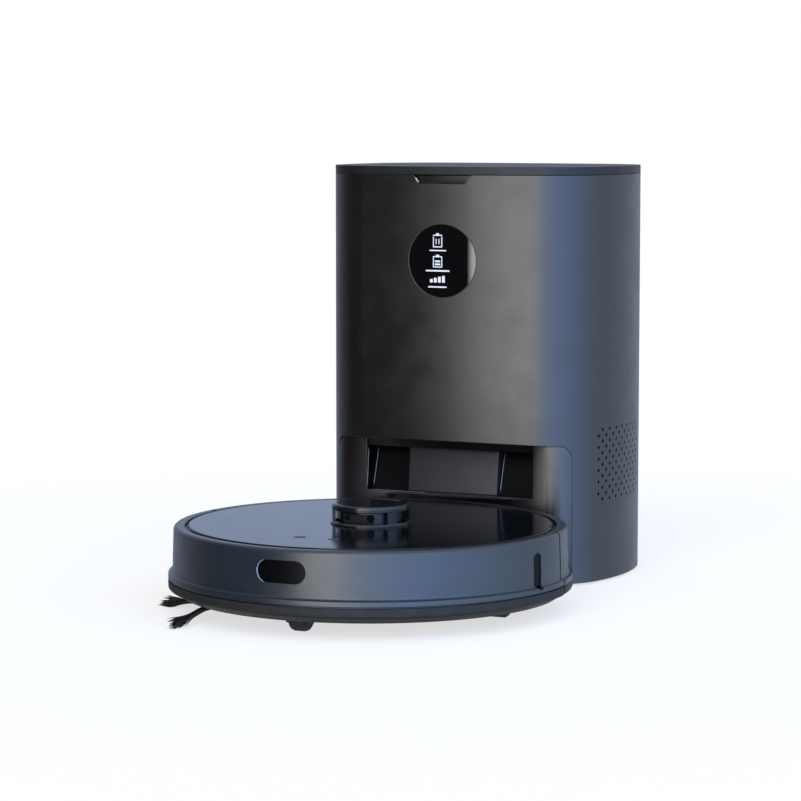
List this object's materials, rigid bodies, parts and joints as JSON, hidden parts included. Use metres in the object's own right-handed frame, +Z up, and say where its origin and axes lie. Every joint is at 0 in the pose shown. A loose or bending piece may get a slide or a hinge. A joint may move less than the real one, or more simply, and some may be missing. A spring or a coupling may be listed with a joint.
{
  "type": "robot vacuum",
  "caption": "Round robot vacuum with a scanner turret, parked in a tall self-emptying dock with a hinged lid, round display and dust bag.",
  "frame": {"origin": "middle of the set's footprint on the floor, with the robot docked", "axes": "+Z up, -Y is the front (the robot's nose), +X is to the right as seen from behind the dock's front"},
  "size_m": [0.35, 0.533, 0.3782],
  "materials": {
    "shell_plastic": "satin moulded, fine texture",
    "robot_plastic": "satin moulded",
    "panel_gloss": "polished",
    "turret_plastic": "polished",
    "belly_plastic": "moulded, fine grain",
    "cover_plastic": "satin",
    "sensor_window": "dark infrared window",
    "inner_plastic": "moulded",
    "fan_plastic": "moulded",
    "rubber": "matt",
    "tyre": "matt, grooved",
    "brush_rubber": "matt",
    "bristle": "fine bristles",
    "bag_fleece": "soft non-woven cloth",
    "card": "plain board",
    "filter_paper": "pleated",
    "steel": "plain",
    "contact_brass": "plated",
    "board": "circuit board",
    "battery_wrap": "shrink wrap",
    "lens": "clear"
  },
  "bodies": {
    "dock": {"dock_shell": "shell_plastic", "dock_base": "belly_plastic", "dock_feet": "rubber", "bay_panel": "shell_plastic", "signal_window": "sensor_window", "signal_cover": "cover_plastic", "port_seal": "rubber", "rear_panel": "belly_plastic", "dock_screws": "steel", "power_inlet": "inner_plastic", "bag_tub": "inner_plastic", "lid_seal": "rubber", "dust_bag": "bag_fleece", "bag_collar": "card", "fan_housing": "inner_plastic", "dock_motor": "steel", "dust_duct": "inner_plastic", "display_window": "panel_gloss", "display_board": "board", "vent_panel_right": "shell_plastic", "vent_panel_left": "shell_plastic", "lid_pins": "steel"},
    "lid": {"dock_lid": "shell_plastic"},
    "dock_impeller": {"dock_fan": "fan_plastic"},
    "right_contact": {"contact_right": "contact_brass"},
    "left_contact": {"contact_left": "contact_brass"},
    "robot": {"chassis": "belly_plastic", "upper_shell": "robot_plastic", "top_panel": "panel_gloss", "lidar_cap": "turret_plastic", "lidar_base": "inner_plastic", "lidar_belt": "rubber", "brush_bearings": "inner_plastic", "brush_guard": "belly_plastic", "battery": "battery_wrap", "battery_door": "belly_plastic", "dust_bin": "inner_plastic", "bin_filter": "filter_paper", "robot_fan_housing": "inner_plastic", "main_board": "board", "charge_plates": "contact_brass", "cliff_sensors": "sensor_window"},
    "front_bumper": {"bumper": "robot_plastic", "bumper_strip": "rubber", "bumper_window": "sensor_window", "side_window": "sensor_window"},
    "scanner": {"lidar_rotor": "inner_plastic", "lidar_lenses": "lens"},
    "scanner_pulley": {"lidar_pulley": "contact_brass"},
    "right_arm": {"drive_arm_right": "inner_plastic"},
    "left_arm": {"drive_arm_left": "inner_plastic"},
    "right_wheel": {"wheel_right": "tyre"},
    "left_wheel": {"wheel_left": "tyre"},
    "caster": {"caster_fork": "belly_plastic"},
    "caster_roller": {"caster_wheel": "rubber"},
    "brush_roller": {"main_brush": "brush_rubber"},
    "corner_brush": {"side_brush": "bristle"},
    "robot_impeller": {"robot_fan": "fan_plastic"},
    "power_key": {"power_button": "cover_plastic"},
    "home_key": {"home_button": "cover_plastic"}
  },
  "joints": [
    {"name": "lid_hinge", "type": "hinge", "parent": "dock", "child": "lid", "pos_m": [0, 0.2525, 0.3746], "axis": [-1, 0, 0], "range_deg": [0, 80]},
    {"name": "dock_fan_spin", "type": "hinge", "parent": "dock", "child": "dock_impeller", "pos_m": [0, 0.1655, 0.16], "axis": [0, 0, 1], "continuous": true},
    {"name": "right_contact_press", "type": "slide", "parent": "dock", "child": "right_contact", "axis": [0, 0, 1], "range_m": [-0.003, 0], "stiffness_N_per_m": 200, "springref_m": 0.003},
    {"name": "left_contact_press", "type": "slide", "parent": "dock", "child": "left_contact", "axis": [0, 0, 1], "range_m": [-0.003, 0], "stiffness_N_per_m": 200, "springref_m": 0.003},
    {"name": "robot_docking", "type": "slide", "parent": "dock", "child": "robot", "axis": [0, -1, 0], "range_m": [0, 0.4]},
    {"name": "bumper_press", "type": "slide", "parent": "robot", "child": "front_bumper", "axis": [0, 1, 0], "range_m": [0, 0.0025], "stiffness_N_per_m": 300, "springref_m": -0.004},
    {"name": "scanner_spin", "type": "hinge", "parent": "robot", "child": "scanner", "pos_m": [0, -0.0895, 0.07], "axis": [0, 0, 1], "continuous": true},
    {"name": "pulley_spin", "type": "hinge", "parent": "robot", "child": "scanner_pulley", "pos_m": [0, -0.0395, 0.063], "axis": [0, 0, 1], "continuous": true},
    {"name": "right_arm_lift", "type": "hinge", "parent": "robot", "child": "right_arm", "pos_m": [0.098, -0.0375, 0.038], "axis": [1, 0, 0], "range_deg": [-5.5, 0], "stiffness_Nm_per_rad": 0.5, "springref_deg": 24.98},
    {"name": "left_arm_lift", "type": "hinge", "parent": "robot", "child": "left_arm", "pos_m": [-0.098, -0.0375, 0.038], "axis": [1, 0, 0], "range_deg": [-5.5, 0], "stiffness_Nm_per_rad": 0.5, "springref_deg": 24.98},
    {"name": "right_wheel_spin", "type": "hinge", "parent": "right_arm", "child": "right_wheel", "pos_m": [0.1205, -0.0895, 0.03], "axis": [1, 0, 0], "continuous": true},
    {"name": "left_wheel_spin", "type": "hinge", "parent": "left_arm", "child": "left_wheel", "pos_m": [-0.1205, -0.0895, 0.03], "axis": [1, 0, 0], "continuous": true},
    {"name": "caster_swivel", "type": "hinge", "parent": "robot", "child": "caster", "pos_m": [0, -0.2175, 0.03], "axis": [0, 0, 1], "continuous": true},
    {"name": "caster_roll", "type": "hinge", "parent": "caster", "child": "caster_roller", "pos_m": [0, -0.2225, 0.0135], "axis": [1, 0, 0], "continuous": true},
    {"name": "main_brush_spin", "type": "hinge", "parent": "robot", "child": "brush_roller", "pos_m": [0, -0.0635, 0.0195], "axis": [1, 0, 0], "continuous": true},
    {"name": "side_brush_spin", "type": "hinge", "parent": "robot", "child": "corner_brush", "pos_m": [-0.098, -0.1875, 0.012], "axis": [0, 0, 1], "continuous": true},
    {"name": "robot_fan_spin", "type": "hinge", "parent": "robot", "child": "robot_impeller", "pos_m": [0.078, 0.0145, 0.043], "axis": [0, 0, 1], "continuous": true},
    {"name": "power_press", "type": "slide", "parent": "robot", "child": "power_key", "axis": [0, 0, 1], "range_m": [-0.0008, 0], "stiffness_N_per_m": 800, "springref_m": 0.001},
    {"name": "home_press", "type": "slide", "parent": "robot", "child": "home_key", "axis": [0, 0, 1], "range_m": [-0.0008, 0], "stiffness_N_per_m": 800, "springref_m": 0.001}
  ],
  "couplings": [
    {"joint": "pulley_spin", "follows": "scanner_spin", "ratio": 5.1818}
  ]
}
